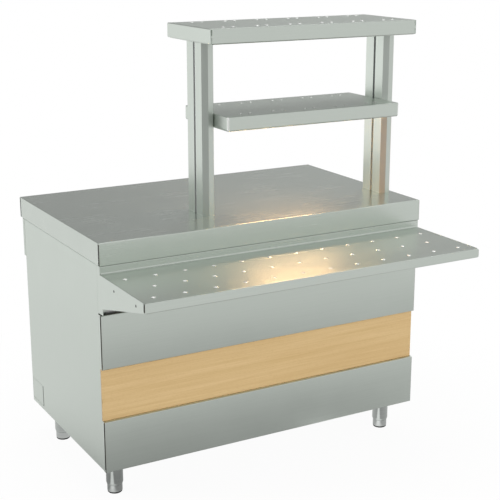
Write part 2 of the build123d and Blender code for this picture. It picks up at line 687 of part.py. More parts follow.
lens = Pos(0, 0, lens_r - lens_h) * Rot(0, 90, 0) * lens
lens = lens & Pos(0, 0, -lens_h) * Box(lamp_l, lamp_w, 2 * lens_h)
nodes["lamp_diffuser"] = lamp_spot * Pos(0, 0, -lamp_h) * lens

os.makedirs("parts", exist_ok=True)
for name, body in nodes.items():
    export_step(body, "parts/" + name + ".step")
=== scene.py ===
import math
import bpy
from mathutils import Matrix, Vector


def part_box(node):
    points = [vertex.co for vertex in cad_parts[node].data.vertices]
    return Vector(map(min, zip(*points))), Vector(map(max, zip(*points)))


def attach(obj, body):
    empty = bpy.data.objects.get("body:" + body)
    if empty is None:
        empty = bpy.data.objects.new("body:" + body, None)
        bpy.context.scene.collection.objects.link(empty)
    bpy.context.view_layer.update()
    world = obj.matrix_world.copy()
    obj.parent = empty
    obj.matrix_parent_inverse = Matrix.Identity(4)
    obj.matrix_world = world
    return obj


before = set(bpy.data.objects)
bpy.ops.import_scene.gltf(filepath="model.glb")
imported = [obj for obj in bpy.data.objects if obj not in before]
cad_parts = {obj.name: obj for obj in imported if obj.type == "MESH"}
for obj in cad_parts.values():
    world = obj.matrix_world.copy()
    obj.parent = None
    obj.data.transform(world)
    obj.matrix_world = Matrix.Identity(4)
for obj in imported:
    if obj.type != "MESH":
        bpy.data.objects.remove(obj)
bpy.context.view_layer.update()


# Foot pads: discs of black nitrile rubber, moulded and pressed on under the feet.
# The moulding leaves a dull, finely pebbled skin that goes grey where it rubs on the floor.
def linear(code):
    """A colour written in sRGB hex, as the linear values that a socket takes."""
    parts = [int(code[i:i + 2], 16) / 255 for i in (1, 3, 5)]
    return [p / 12.92 if p <= 0.04045 else ((p + 0.055) / 1.055) ** 2.4 for p in parts] + [1.0]


def add(material, kind, inputs, **settings):
    """A node with its settings, and its inputs set to values or linked to other sockets."""
    node = material.node_tree.nodes.new("ShaderNode" + kind)
    for key, value in settings.items():
        setattr(node, key, value)
    for key, value in inputs.items():
        if isinstance(value, bpy.types.NodeSocket):
            material.node_tree.links.new(value, node.inputs[key])
        else:
            node.inputs[key].default_value = value
    return node


def finish(name):
    """A new material, its shader, and the place on the piece in metres."""
    material = bpy.data.materials.new(name)
    material.use_nodes = True
    place = add(material, "TexCoord", {})
    return material, material.node_tree.nodes["Principled BSDF"], place.outputs["Object"]


def join(material, socket, target):
    """Link one socket to a shader's input."""
    material.node_tree.links.new(socket, target)


# a Mix node's sockets for colours, which share their names with its sockets for numbers
colour_a, colour_b, colour_out = 6, 7, 2


def vary(material, shader, pattern, dark, light, rough, span=(0.0, 1.0)):
    """Let a pattern vary a finish between two colours and, over a span of it, two roughnesses."""
    shade = add(material, "Mix", {"Factor": pattern, colour_a: linear(dark), colour_b: linear(light)},
                data_type="RGBA")
    gloss = add(material, "MapRange", {"Value": pattern, "From Min": span[0], "From Max": span[1],
                                       "To Min": rough[0], "To Max": rough[1]})
    join(material, shade.outputs[colour_out], shader.inputs["Base Color"])
    join(material, gloss.outputs[0], shader.inputs["Roughness"])
    return shade.outputs[colour_out], gloss.outputs[0]


def dress(material, *names):
    """Give CAD nodes their finish."""
    for name in names:
        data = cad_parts[name].data
        data.materials.clear()
        data.materials.append(material)


corners = ("front_left", "front_right", "rear_left", "rear_right")
# pebbles and scuffs in mm: real pebbles are 0.3 mm across, and are drawn coarser so that they show
pebble_size, scuff_size = 1.5, 12
rubber, shader, place = finish("nitrile_rubber_moulded")
pebble = add(rubber, "TexNoise", {"Vector": place, "Scale": 1000 / pebble_size, "Detail": 2.0})
scuff = add(rubber, "TexNoise", {"Vector": place, "Scale": 1000 / scuff_size, "Detail": 3.0})
skin = add(rubber, "Bump", {"Height": pebble.outputs[0], "Strength": 0.4, "Distance": 0.0003})
vary(rubber, shader, scuff.outputs[0], "#0d0e0e", "#1d1d1c", (0.62, 0.86))
join(rubber, skin.outputs[0], shader.inputs["Normal"])
dress(rubber, *["foot_pad_" + corner for corner in corners])

# Levelling feet: stainless bar turned on a lathe, with a threaded stem that screws into the leg.
# Turning leaves fine rings round the foot, and the stem carries a thread of 2 mm pitch.
thread_pitch, thread_depth = 0.002, 0.0006
stem_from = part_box("leg_front_left")[0][2] - 0.0004
# rings in mm: their gap is coarser than the real feed of 0.1 mm
ring_length, ring_gap = 250, 0.8
turned, shader, place = finish("stainless_steel_turned")
ring_scale = (1000 / ring_length, 1000 / ring_length, 1000 / ring_gap)
ring_place = add(turned, "Mapping", {"Vector": place, "Scale": ring_scale})
rings = add(turned, "TexNoise", {"Vector": ring_place.outputs[0], "Scale": 1.0, "Detail": 2.0})
height = add(turned, "SeparateXYZ", {"Vector": place})
pitch = add(turned, "Math", {0: height.outputs["Z"], 1: 2 * math.pi / thread_pitch}, operation="MULTIPLY")
wave = add(turned, "Math", {0: pitch.outputs[0]}, operation="SINE")
on_stem = add(turned, "Math", {0: height.outputs["Z"], 1: stem_from}, operation="GREATER_THAN")
thread = add(turned, "Math", {0: wave.outputs[0], 1: on_stem.outputs[0]}, operation="MULTIPLY")
cut = add(turned, "Bump", {"Height": thread.outputs[0], "Strength": 0.9, "Distance": thread_depth})
lathe = add(turned, "Bump", {"Height": rings.outputs[0], "Strength": 0.03, "Distance": 0.0002,
                             "Normal": cut.outputs[0]})
shader.inputs["Metallic"].default_value = 1.0
vary(turned, shader, rings.outputs[0], "#c3c7c4", "#dadddb", (0.12, 0.22))
join(turned, lathe.outputs[0], shader.inputs["Normal"])
dress(turned, *["foot_" + corner for corner in corners])

# Legs: round stainless tube, ground and half polished, welded to a plate under the base.
# The grinding runs round the tube, so it mirrors the room in long upright bands.
tube, shader, place = finish("stainless_tube_half_polished")
# marks 12 to a metre round the tube and 1.2 mm apart, coarser than the real 0.2 mm
marks_round, mark_gap = 12.0, 1.2
mark_place = add(tube, "Mapping", {"Vector": place, "Scale": (marks_round, marks_round, 1000 / mark_gap)})
marks = add(tube, "TexNoise", {"Vector": mark_place.outputs[0], "Scale": 1.0, "Detail": 3.0})
ground = add(tube, "Bump", {"Height": marks.outputs[0], "Strength": 0.02, "Distance": 0.0002})
shader.inputs["Metallic"].default_value = 1.0
vary(tube, shader, marks.outputs[0], "#bcc1bd", "#d3d7d4", (0.10, 0.17), span=(0.3, 0.7))
join(tube, ground.outputs[0], shader.inputs["Normal"])
dress(tube, *["leg_" + corner for corner in corners])

# Rails, cores, clips, pins and bolts: cut and folded mild steel, zinc plated, mostly out of sight.
# The plating has a dull blue-grey bloom in soft patches, over a fine grit.
zinc, shader, place = finish("zinc_plated_steel")
# sizes in mm of the patches and of the grit
bloom_size, grit_size = 25, 2.0
bloom = add(zinc, "TexNoise", {"Vector": place, "Scale": 1000 / bloom_size, "Detail": 4.0, "Roughness": 0.65})
grit = add(zinc, "TexNoise", {"Vector": place, "Scale": 1000 / grit_size, "Detail": 2.0})
plated = add(zinc, "Bump", {"Height": grit.outputs[0], "Strength": 0.1, "Distance": 0.0002})
shader.inputs["Metallic"].default_value = 1.0
vary(zinc, shader, bloom.outputs[0], "#8e9397", "#bcc1c4", (0.36, 0.56), span=(0.3, 0.7))
join(zinc, plated.outputs[0], shader.inputs["Normal"])
dress(zinc, "base_rails", "leg_bolts", "panel_clips", "socket_pins", "post_left_core", "post_right_core",
      "post_anchor_plates", "post_bolts", "mid_shelf_brackets")


# Body: sides, inner front, floor and loose shelf of stainless sheet, folded and spot welded.
# The sheet is belt ground to a satin finish, and the ground lines run one way along each piece.
def satin_sheet(name, run, rough=(0.31, 0.41), tones=("#ccd4cc", "#dbe2db"), bowed=None, glint_face=None,
                joints=(), painted_tone="#716b62"):
    """Ground stainless sheet, with its lines run along the counter or upright.

    bowed is the height about which the sheet bulges; the next argument is the height of a face whose bosses,
    and the rounded upright corners too, get a painted glint of near white.
    The patches that follow are dull places of painted shade or painted light in another tone, given by their
    ranges of y, z and distance out from the middle, where None is no limit.
    """
    # sizes in mm: lines coarser than the real 0.2 mm, which show as faint streaks, and clouds left by wiping
    line_length, line_gap, cloud_size = 320, 5, 130
    if run == "along":
        lines, spread = (line_length, line_gap, line_gap), (0, 0.7, 0.7)
    else:
        lines, spread = (line_gap, line_gap, line_length), (0.7, 0.7, 0)
    steel, shader, place = finish(name)
    line_place = add(steel, "Mapping", {"Vector": place, "Scale": [1000 / size for size in lines]})
    streak = add(steel, "TexNoise", {"Vector": line_place.outputs[0], "Scale": 1.0, "Detail": 4.0,
                                     "Roughness": 0.7})
    wiped = add(steel, "TexNoise", {"Vector": place, "Scale": 1000 / cloud_size, "Detail": 3.0})
    both = add(steel, "Mix", {"Factor": 0.35, "A": streak.outputs[0], "B": wiped.outputs[0]})
    tone, dull = vary(steel, shader, both.outputs[0], *tones, rough, span=(0.3, 0.7))
    ground = add(steel, "Bump", {"Height": streak.outputs[0], "Strength": 0.12 * rough[0],
                                 "Distance": 0.0002})
    across = add(steel, "CombineXYZ", {"X": spread[0], "Y": spread[1], "Z": spread[2]})
    axes = add(steel, "SeparateXYZ", {"Vector": place})
    shader.inputs["Metallic"].default_value = 1.0
    if bowed:
        # folding its edges leaves the sheet about 4 mm fuller in the middle
        off = add(steel, "Math", {0: axes.outputs["Z"], 1: bowed}, operation="SUBTRACT")
        square = add(steel, "Math", {0: off.outputs[0], 1: 2.0}, operation="POWER")
        full = add(steel, "Math", {0: square.outputs[0], 1: -0.5}, operation="MULTIPLY")
        bow = add(steel, "Bump", {"Height": full.outputs[0], "Strength": 1.0, "Distance": 1.0})
        join(steel, bow.outputs[0], ground.inputs["Normal"])
    if glint_face:
        # painted glint: the bosses rise 2 mm, and all but their foot is painted near white, with less metal
        boss_foot, boss_glint_top = glint_face + 0.0002, glint_face + 0.0007
        boss = add(steel, "MapRange", {"Value": axes.outputs["Z"], "From Min": boss_foot,
                                       "From Max": boss_glint_top})
        # painted highlight: the rounded upright corners, where the sheet faces along X and Y at once, are
        # painted near white too
        facing = add(steel, "SeparateXYZ", {"Vector": add(steel, "NewGeometry", {}).outputs["Normal"]})
        both_ways = add(steel, "Math", {0: facing.outputs["X"], 1: facing.outputs["Y"]}, operation="MULTIPLY")
        diagonal_facing = add(steel, "Math", {0: both_ways.outputs[0]}, operation="ABSOLUTE")
        corner = add(steel, "MapRange", {"Value": diagonal_facing.outputs[0], "From Min": 0.15, "From Max": 0.35})
        wear_and_glint = add(steel, "Math", {0: boss.outputs[0], 1: corner.outputs[0]}, operation="MAXIMUM").outputs[0]
        painted_glint = add(steel, "Mix", {"Factor": wear_and_glint, colour_a: tone, colour_b: linear("#f1f3f0")},
                     data_type="RGBA")
        slick = add(steel, "Mix", {"Factor": wear_and_glint, "A": dull, "B": 0.16})
        metal = add(steel, "MapRange", {"Value": wear_and_glint, "To Min": 1.0, "To Max": 0.3})
        tone, dull = painted_glint.outputs[colour_out], slick.outputs[0]
        join(steel, metal.outputs[0], shader.inputs["Metallic"])
    # paint each patch in its own tone, as painted shade or painted light, and make it dull
    for patch in joints:
        out = add(steel, "Math", {0: axes.outputs["X"]}, operation="ABSOLUTE")
        spans = {"out": out.outputs[0], "y": axes.outputs["Y"], "z": axes.outputs["Z"]}
        inside = 1.0
        for span, (start, stop) in patch.items():
            for limit, kind in ((start, "GREATER_THAN"), (stop, "LESS_THAN")):
                if limit is None:
                    continue
                test = add(steel, "Math", {0: spans[span], 1: limit}, operation=kind)
                inside = add(steel, "Math", {0: inside, 1: test.outputs[0]}, operation="MULTIPLY").outputs[0]
        painted_mix = add(steel, "Mix", {"Factor": inside, colour_a: tone, colour_b: linear(painted_tone)},
                     data_type="RGBA")
        matt = add(steel, "Mix", {"Factor": inside, "A": dull, "B": 0.6})
        tone, dull = painted_mix.outputs[colour_out], matt.outputs[0]
    shader.inputs["Anisotropic"].default_value = 0.2 if bowed or glint_face else 0.45
    join(steel, tone, shader.inputs["Base Color"])
    join(steel, dull, shader.inputs["Roughness"])
    join(steel, ground.outputs[0], shader.inputs["Normal"])
    join(steel, across.outputs[0], shader.inputs["Tangent"])
    return steel


satin_along = satin_sheet("stainless_sheet_satin_lengthwise", "along")
satin_inside = satin_sheet("stainless_sheet_satin_inside", "along", tones=("#d6d6d4", "#e3e3e1"))
satin_upright = satin_sheet("stainless_sheet_satin_upright", "upright")
dress(satin_inside, "front_inner_panel", "base_shelf", "inner_shelf", "shelf_rails", "rear_rail")
dress(satin_upright, "side_panel_left", "side_panel_right")

# Service covers: a small plate of the same sheet set in each side, with a backing that laps the hole.
# It is cut from the side's own sheet, so its ground lines run upright like the side's.
dress(satin_upright, "service_cover_left", "service_cover_right")

# Facings: two folded sheets hung on clips, with an open shadow gap behind their upright edges.
# Their ground lines run along the counter, and each is slightly fuller in the middle.
# Painted shade darkens the gap and the cut edges beside it, but not the top return of the lower one.
sheet, back_margin, end_margin, top_return = 0.0013, 0.0005, 0.0002, 0.006
edge_width, edge_depth = 0.0005, 0.0015
for name in ("upper", "lower"):
    low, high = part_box("front_" + name + "_panel")
    shadow_gap = {"out": (None, high[0] - end_margin), "y": (low[1] + sheet, high[1] - back_margin)}
    if name == "lower":
        shadow_gap["z"] = (None, high[2] - top_return)
    cut_edge = {"out": (high[0] - edge_width, None), "y": (None, low[1] + edge_depth)}
    dress(satin_sheet("stainless_facing_" + name, "along", bowed=(low[2] + high[2]) / 2,
                      joints=(shadow_gap, cut_edge)), "front_" + name + "_panel")

# Beech board: chipboard faced with a printed and pressed beech laminate, held behind the facings' edges.
# Warm and matt, with a level grain: broad soft bands, fine lines and short darker flecks.
beech, shader, place = finish("beech_laminate_matt")
# sizes along and up in mm: real lines are 0.6 mm apart and real flecks 3 by 0.4 mm, drawn coarser to show
band_size, line_size, fleck_size = (900, 22), (260, 3), (14, 2)
band_place, line_place, fleck_place = [
    add(beech, "Mapping", {"Vector": place, "Scale": (1000 / length, 1.0, 1000 / rise)}).outputs[0]
    for length, rise in (band_size, line_size, fleck_size)]
bands = add(beech, "TexNoise", {"Vector": band_place, "Scale": 1.0, "Detail": 3.0, "Distortion": 0.4})
lines = add(beech, "TexNoise", {"Vector": line_place, "Scale": 1.0, "Detail": 4.0, "Roughness": 0.7})
flecks = add(beech, "TexVoronoi", {"Vector": fleck_place, "Scale": 1.0, "Randomness": 1.0})
fleck = add(beech, "MapRange", {"Value": flecks.outputs["Distance"], "From Min": 0.12, "From Max": 0.34,
                                "To Min": 1.0, "To Max": 0.0})
grain = add(beech, "Mix", {"Factor": 0.55, "A": bands.outputs[0], "B": lines.outputs[0]})
tone = add(beech, "MapRange", {"Value": grain.outputs[0], "From Min": 0.32, "From Max": 0.68})
wood = add(beech, "Mix", {"Factor": tone.outputs[0], colour_a: linear("#c7a672"),
                          colour_b: linear("#dbbe8d")}, data_type="RGBA")
faint = add(beech, "Math", {0: fleck.outputs[0], 1: 0.25}, operation="MULTIPLY")
flecked = add(beech, "Mix", {"Factor": faint.outputs[0], colour_a: wood.outputs[colour_out],
                             colour_b: linear("#a9804a")}, data_type="RGBA")
matt = add(beech, "MapRange", {"Value": lines.outputs[0], "To Min": 0.42, "To Max": 0.58})
pores = add(beech, "Bump", {"Height": lines.outputs[0], "Strength": 0.12, "Distance": 0.0003})
join(beech, flecked.outputs[colour_out], shader.inputs["Base Color"])
join(beech, matt.outputs[0], shader.inputs["Roughness"])
join(beech, pores.outputs[0], shader.inputs["Normal"])
dress(beech, "front_decor_panel")


# Fascia: a shallow folded pan screwed over the rear, which carries the sockets and the lamp switch.
# Same sheet and same lengthwise grinding as the facings, with plated pan-head screws.
# A screw's head is rounded, and its cross recess is punched in by two crossed blades.
def round_edges(piece, width, segments, sharper_than):
    """Round the edges of a piece that are sharper than an angle in degrees."""
    bevel = piece.modifiers.new("round_edges", "BEVEL")
    bevel.width, bevel.segments, bevel.limit_method = width, segments, "ANGLE"
    bevel.angle_limit = math.radians(sharper_than)
    bpy.ops.object.modifier_apply(modifier=bevel.name)


def cut_out(piece, cutter):
    """Cut a shape out of a piece, and clear the cutter away."""
    bpy.context.view_layer.objects.active = piece
    cut = piece.modifiers.new("cut_out", "BOOLEAN")
    cut.object, cut.operation, cut.solver = cutter, "DIFFERENCE", "EXACT"
    bpy.ops.object.modifier_apply(modifier=cut.name)
    bpy.data.objects.remove(cutter)


def set_copy(model, name, spot, turn=(0, 0, 0), stretch=(1, 1, 1)):
    """A copy of a finished piece with its own mesh, which takes up its place, turn and stretch."""
    piece = model.copy()
    piece.data = model.data.copy()
    piece.name = name
    bpy.context.collection.objects.link(piece)
    piece.location, piece.rotation_euler, piece.scale = spot, turn, stretch
    bpy.ops.object.select_all(action="DESELECT")
    piece.select_set(True)
    bpy.context.view_layer.objects.active = piece
    bpy.ops.object.transform_apply(location=True, rotation=True, scale=True)
    bpy.ops.object.shade_smooth_by_angle(angle=math.radians(35))
    return piece


dress(satin_along, "rear_fascia")
head_radius, head_height, head_round = 0.0042, 0.0022, 0.001
blade = (0.0050, 0.0010, 0.0024)
edge_inset, end_inset, screw_pitch, screw_turn = 0.014, 0.0138, 0.29, 0.35
bpy.ops.object.select_all(action="DESELECT")
bpy.ops.mesh.primitive_cylinder_add(vertices=40, radius=head_radius, depth=head_height,
                                    location=(0, 0, head_height / 2))
head = bpy.context.object
bpy.ops.object.transform_apply(location=True)
round_edges(head, head_round, segments=4, sharper_than=50)
for turn in (0.0, math.pi / 2):
    bpy.ops.mesh.primitive_cube_add(size=1.0, location=(0, 0, head_height), rotation=(0, 0, turn))
    punch = bpy.context.object
    punch.scale = blade
    cut_out(head, punch)
head.data.materials.append(zinc)
low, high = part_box("rear_fascia")
end_x = high[0] - end_inset
upper_row = [(x, high[2] - edge_inset) for x in (-end_x, -screw_pitch, 0.0, screw_pitch, end_x)]
lower_row = [(x, low[2] + edge_inset) for x in (-end_x, end_x)]
for number, (x, z) in enumerate(upper_row + lower_row):
    screw = set_copy(head, "fascia_screw_%d" % (number + 1), (x, high[1], z),
                     turn=(-math.pi / 2, screw_turn * number, 0))
    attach(screw, "counter")
bpy.data.objects.remove(head)


# Sockets, switch frame, gland and box: injection-moulded ABS and polyamide.
# Spark-eroded moulds give it a fine even grain with a soft sheen.
def moulded(name, dark, light, rough):
    """Grained moulded plastic between two tones and two roughnesses."""
    # sizes in mm: the grain is coarser than the real 0.2 mm, so that it shows
    grain_size, flow_size = 0.9, 30
    plastic, shader, place = finish(name)
    spark = add(plastic, "TexNoise", {"Vector": place, "Scale": 1000 / grain_size, "Detail": 1.0})
    flow = add(plastic, "TexNoise", {"Vector": place, "Scale": 1000 / flow_size, "Detail": 2.0})
    grained = add(plastic, "Bump", {"Height": spark.outputs[0], "Strength": 0.25, "Distance": 0.0001})
    vary(plastic, shader, flow.outputs[0], dark, light, rough, span=(0.3, 0.7))
    join(plastic, grained.outputs[0], shader.inputs["Normal"])
    return plastic


black_abs = moulded("abs_black_grained", "#151617", "#222325", (0.42, 0.55))
grey_abs = moulded("abs_grey_grained", "#85898b", "#979b9d", (0.40, 0.52))
red_abs = moulded("abs_red_polished", "#94140f", "#a81c15", (0.16, 0.24))
dress(black_abs, "socket_left_body", "socket_right_body", "switch_bezel", "cable_gland")
dress(grey_abs, "socket_left_lid", "socket_right_lid", "junction_box", "lamp_holders")
dress(red_abs, "switch_rocker")

# Contact inserts: a moulded grey disc at the bottom of each socket's recess, with two pin holes.
# It is pressed in against the recess floor, and its rim is slightly rounded by the mould.
disc_radius, disc_height, disc_round = 0.0192, 0.0016, 0.0004
pin_radius, pin_spacing, drill_length, drill_tip = 0.0024, 0.019, 0.01, 0.0005
# the recess's floor and middle, from the inner end and the foot of the socket's body
recess_floor, recess_rise = 0.0182, 0.026
bpy.ops.object.select_all(action="DESELECT")
bpy.ops.mesh.primitive_cylinder_add(vertices=64, radius=disc_radius, depth=disc_height,
                                    location=(0, 0, disc_height / 2))
disc = bpy.context.object
bpy.ops.object.transform_apply(location=True)
round_edges(disc, disc_round, segments=3, sharper_than=50)
for hand in (-1, 1):
    spot = (hand * pin_spacing / 2, 0, drill_tip + drill_length / 2)
    bpy.ops.mesh.primitive_cylinder_add(vertices=32, radius=pin_radius, depth=drill_length, location=spot)
    cut_out(disc, bpy.context.object)
disc.data.materials.append(grey_abs)
for hand in ("left", "right"):
    low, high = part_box("socket_" + hand + "_body")
    spot = ((low[0] + high[0]) / 2, low[1] + recess_floor, low[2] + recess_rise)
    insert = set_copy(disc, "socket_insert_" + hand, spot, turn=(-math.pi / 2, 0, 0))
    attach(insert, "counter")
bpy.data.objects.remove(disc)

# Worktop: one sheet with its edges folded down and turned in, stiffened by ribs underneath.
# Belt ground lengthwise, with an open seam where the front lip meets the end lip, and painted shade darkens
# the cut edge there.
top_low, top_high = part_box("worktop")
edge_width, edge_depth, edge_drop = 0.0008, 0.002, 0.0035
seam_edge = {"out": (top_high[0] - edge_width, None), "y": (None, top_low[1] + edge_depth),
             "z": (None, top_high[2] - edge_drop)}
dress(satin_sheet("stainless_worktop", "along", rough=(0.22, 0.29), joints=[seam_edge]), "worktop")
dress(satin_inside, "worktop_stiffeners")

# Tray shelf: a folded pan with raised bosses for trays to slide on, an apron behind and a gusset at each end.
# The bosses are pressed up from the sheet and given a painted glint of near white, and blackened screws hold
# the gussets.
# Painted shade darkens the cut edge at the open seam, and the apron's upper edge under the worktop.
boss_rise, painted_shade_height = 0.002, 0.0012
tray_low, tray_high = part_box("tray_shelf")
edge_width, edge_depth, edge_drop = 0.0005, 0.002, 0.0055
seam_edge = {"out": (tray_high[0] - edge_width, None), "y": (None, tray_low[1] + edge_depth),
             "z": (None, tray_high[2] - edge_drop)}
dress(satin_sheet("stainless_tray_bossed", "along", rough=(0.28, 0.37), glint_face=tray_high[2] - boss_rise,
                  joints=[seam_edge]), "tray_shelf")
upper_edge = {"z": (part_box("front_apron")[1][2] - painted_shade_height, None)}
dress(satin_sheet("stainless_apron", "along", rough=(0.24, 0.32), joints=[upper_edge]), "front_apron")
dress(satin_along, "tray_bracket_left", "tray_bracket_right")
blackened, shader, place = finish("steel_screw_blackened")
# size in mm of the worn patches
screw_patch = 2.5
wear_and_glint = add(blackened, "TexNoise", {"Vector": place, "Scale": 1000 / screw_patch, "Detail": 3.0})
shader.inputs["Metallic"].default_value = 1.0
vary(blackened, shader, wear_and_glint.outputs[0], "#2a2c2b", "#55585a", (0.3, 0.5))
dress(blackened, "tray_screws")

# Seam shade: black beads set in the open corner seams of the worktop and the tray shelf, dark pieces that
# stand in for the shade inside the seams. They have rounded edges and a soft, slightly uneven skin.
bead_width, bead_depth, bead_round, bead_set = 0.004, 0.0084, 0.001, 0.0055
seam_shade = moulded("seam_shade_black", "#191919", "#292928", (0.45, 0.65))
bpy.ops.object.select_all(action="DESELECT")
bpy.ops.mesh.primitive_cube_add(size=1.0)
bead = bpy.context.object
bpy.ops.object.mode_set(mode="EDIT")
bpy.ops.mesh.select_all(action="SELECT")
bpy.ops.mesh.subdivide(number_cuts=3)
bpy.ops.transform.resize(value=(bead_width, bead_depth, 1.0))
bpy.ops.mesh.select_all(action="DESELECT")
bpy.ops.object.mode_set(mode="OBJECT")
round_edges(bead, bead_round, segments=3, sharper_than=30)
bead.data.materials.append(seam_shade)
tray_out, tray_foot, tray_head = tray_high[0] - 0.0041, tray_low[2] + 0.003, tray_high[2] - 0.006
top_out, top_foot, top_head = top_high[0] - 0.0037, top_low[2] + 0.0015, top_high[2] - 0.003
seams = {"tray": (tray_out, tray_low[1] + bead_set, tray_foot, tray_head),
         "worktop_front": (top_out, top_low[1] + bead_set, top_foot, top_head),
         "worktop_rear": (top_out, top_high[1] - bead_set, top_foot, top_head)}
for seam, (out_x, mid_y, low_z, high_z) in seams.items():
    for end, hand in ((-1, "left"), (1, "right")):
        run = set_copy(bead, "seam_shade_bead_" + seam + "_" + hand, (end * out_x, mid_y, (low_z + high_z) / 2),
                       stretch=(1.0, 1.0, high_z - low_z))
        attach(run, "counter")
bpy.data.objects.remove(bead)

# Posts: each is two folded halves with a slot between them, slid over a plated core and bolted up
# through the worktop. The grinding runs upright, and on three of the halves the wall of the slot is
# painted a brighter tone, a painted highlight that lightens the shade in the slot.
front_low, front_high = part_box("post_right_front")
wall_from, wall_to = front_high[1] - 0.0011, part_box("post_right_rear")[0][1] + 0.0003
dress(satin_sheet("stainless_post_satin_upright", "upright", joints=[{"y": (wall_from, wall_to)}],
                  painted_tone="#eceeec"), "post_left_front", "post_left_rear", "post_right_rear")
# below the mid shelf, the right-hand post's sloping strip is dull and painted faintly straw-coloured,
# a painted reflection of the lamp's warm light
strip_from, strip_depth, strip_top = front_low[1] + 0.0002, 0.008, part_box("mid_shelf")[0][2] + 0.0005
sloping_strip = {"y": (strip_from, strip_from + strip_depth), "z": (None, strip_top)}
dress(satin_sheet("stainless_post_lamp_tinted", "upright", joints=[sloping_strip], painted_tone="#d9cfc0"),
      "post_right_front")

# Shelves of the unit: two folded pans with paired bosses, on and between the posts.
# Ground lengthwise like the worktop; their bosses and rounded upright corners get a painted glint, and
# painted shade makes a dark line along the foot of the front lip.
painted_shade_depth, painted_shade_height = 0.002, 0.0025
for name in ("top_shelf", "mid_shelf"):
    low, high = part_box(name)
    foot_line = {"y": (None, low[1] + painted_shade_depth), "z": (None, low[2] + painted_shade_height)}
    dress(satin_sheet("stainless_" + name + "_bossed", "along", glint_face=high[2] - boss_rise,
                      joints=[foot_line]), name)

# Lamp: an enamelled trough under the mid shelf, with a frosted tube behind an opal lens.
# It is lit, a warm white that shows on the worktop and the tray in front.
enamel, shader, place = finish("white_stoved_enamel")
# size in mm of the ripples in the coat
peel_size = 3
peel = add(enamel, "TexNoise", {"Vector": place, "Scale": 1000 / peel_size, "Detail": 1.0})
shade = add(enamel, "Mix", {"Factor": peel.outputs[0], colour_a: linear("#dfdfda"),
                            colour_b: linear("#ebebe6")}, data_type="RGBA")
coat = add(enamel, "Bump", {"Height": peel.outputs[0], "Strength": 0.1, "Distance": 0.0002})
shader.inputs["Roughness"].default_value = 0.3
join(enamel, shade.outputs[colour_out], shader.inputs["Base Color"])
join(enamel, coat.outputs[0], shader.inputs["Normal"])
dress(enamel, "lamp_housing")


def lit(name, colour, glow, strength):
    """Glass or plastic that shines in one colour."""
    lamp, shader, place = finish(name)
    # size in mm of the patches of haze
    haze_size = 8
    haze = add(lamp, "TexNoise", {"Vector": place, "Scale": 1000 / haze_size, "Detail": 2.0})
    frost = add(lamp, "MapRange", {"Value": haze.outputs[0], "To Min": 0.3, "To Max": 0.5})
    shader.inputs["Base Color"].default_value = linear(colour)
    shader.inputs["Emission Color"].default_value = linear(glow)
    shader.inputs["Emission Strength"].default_value = strength
    join(lamp, frost.outputs[0], shader.inputs["Roughness"])
    return lamp


dress(lit("lamp_glass_frosted", "#f6efe0", "#ffd29f", 10.0), "lamp_tube")
dress(lit("acrylic_opal_lit", "#f3ead7", "#ffc992", 38.0), "lamp_diffuser")

# Studio floor: a round pale card, which the camera sees as white with a faint shadow near the counter.
# The metal mirrors a painted glow: dark close in front as a painted shadow of the counter, paler farther out
# and past the ends, and nearly white behind.
floor_radius, floor_drop = 2.8, 0.0004
behind_counter = (0.25, 0.97, 0.0)
smooth = {"interpolation_type": "SMOOTHSTEP"}
bpy.ops.object.select_all(action="DESELECT")
bpy.ops.mesh.primitive_circle_add(vertices=96, radius=floor_radius, fill_type="NGON",
                                  location=(0, 0, -floor_drop))
floor = bpy.context.object
floor.name = "studio_floor"
sweep = bpy.data.materials.new("studio_floor_white")
sweep.use_nodes = True
sweep.node_tree.nodes.clear()
place = add(sweep, "TexCoord", {}).outputs["Object"]
axes = add(sweep, "SeparateXYZ", {"Vector": place})
along, depth = axes.outputs["X"], axes.outputs["Y"]
close = add(sweep, "MapRange", {"Value": depth, "From Min": -0.30, "From Max": -1.2, "To Min": 0.36,
                                "To Max": 0.55})
out = add(sweep, "MapRange", {"Value": depth, "From Min": -1.2, "From Max": -2.8, "To Max": 0.35})
under = add(sweep, "MapRange", {"Value": depth, "From Min": -0.20, "From Max": -0.36, "To Min": 0.10,
                                "To Max": 0.0})
open_front = add(sweep, "Math", {0: close.outputs[0], 1: out.outputs[0]}, operation="ADD")
front = add(sweep, "Math", {0: open_front.outputs[0], 1: under.outputs[0]}, operation="SUBTRACT")
right = add(sweep, "MapRange", {"Value": along, "From Min": 0.35, "From Max": 1.0, "To Max": 0.4}, **smooth)
left = add(sweep, "MapRange", {"Value": along, "From Min": -0.68, "From Max": -0.82}, **smooth)
past = add(sweep, "Math", {0: right.outputs[0], 1: left.outputs[0]}, operation="MAXIMUM")
ahead = add(sweep, "Mix", {"Factor": past.outputs[0], "A": front.outputs[0], "B": 0.72})
behind = add(sweep, "VectorMath", {0: place, 1: behind_counter}, operation="DOT_PRODUCT")
back = add(sweep, "MapRange", {"Value": behind.outputs["Value"], "From Min": -0.5, "From Max": 0.7}, **smooth)
plain_mirror = add(sweep, "Mix", {"Factor": back.outputs[0], "A": ahead.outputs[0], "B": 0.86})
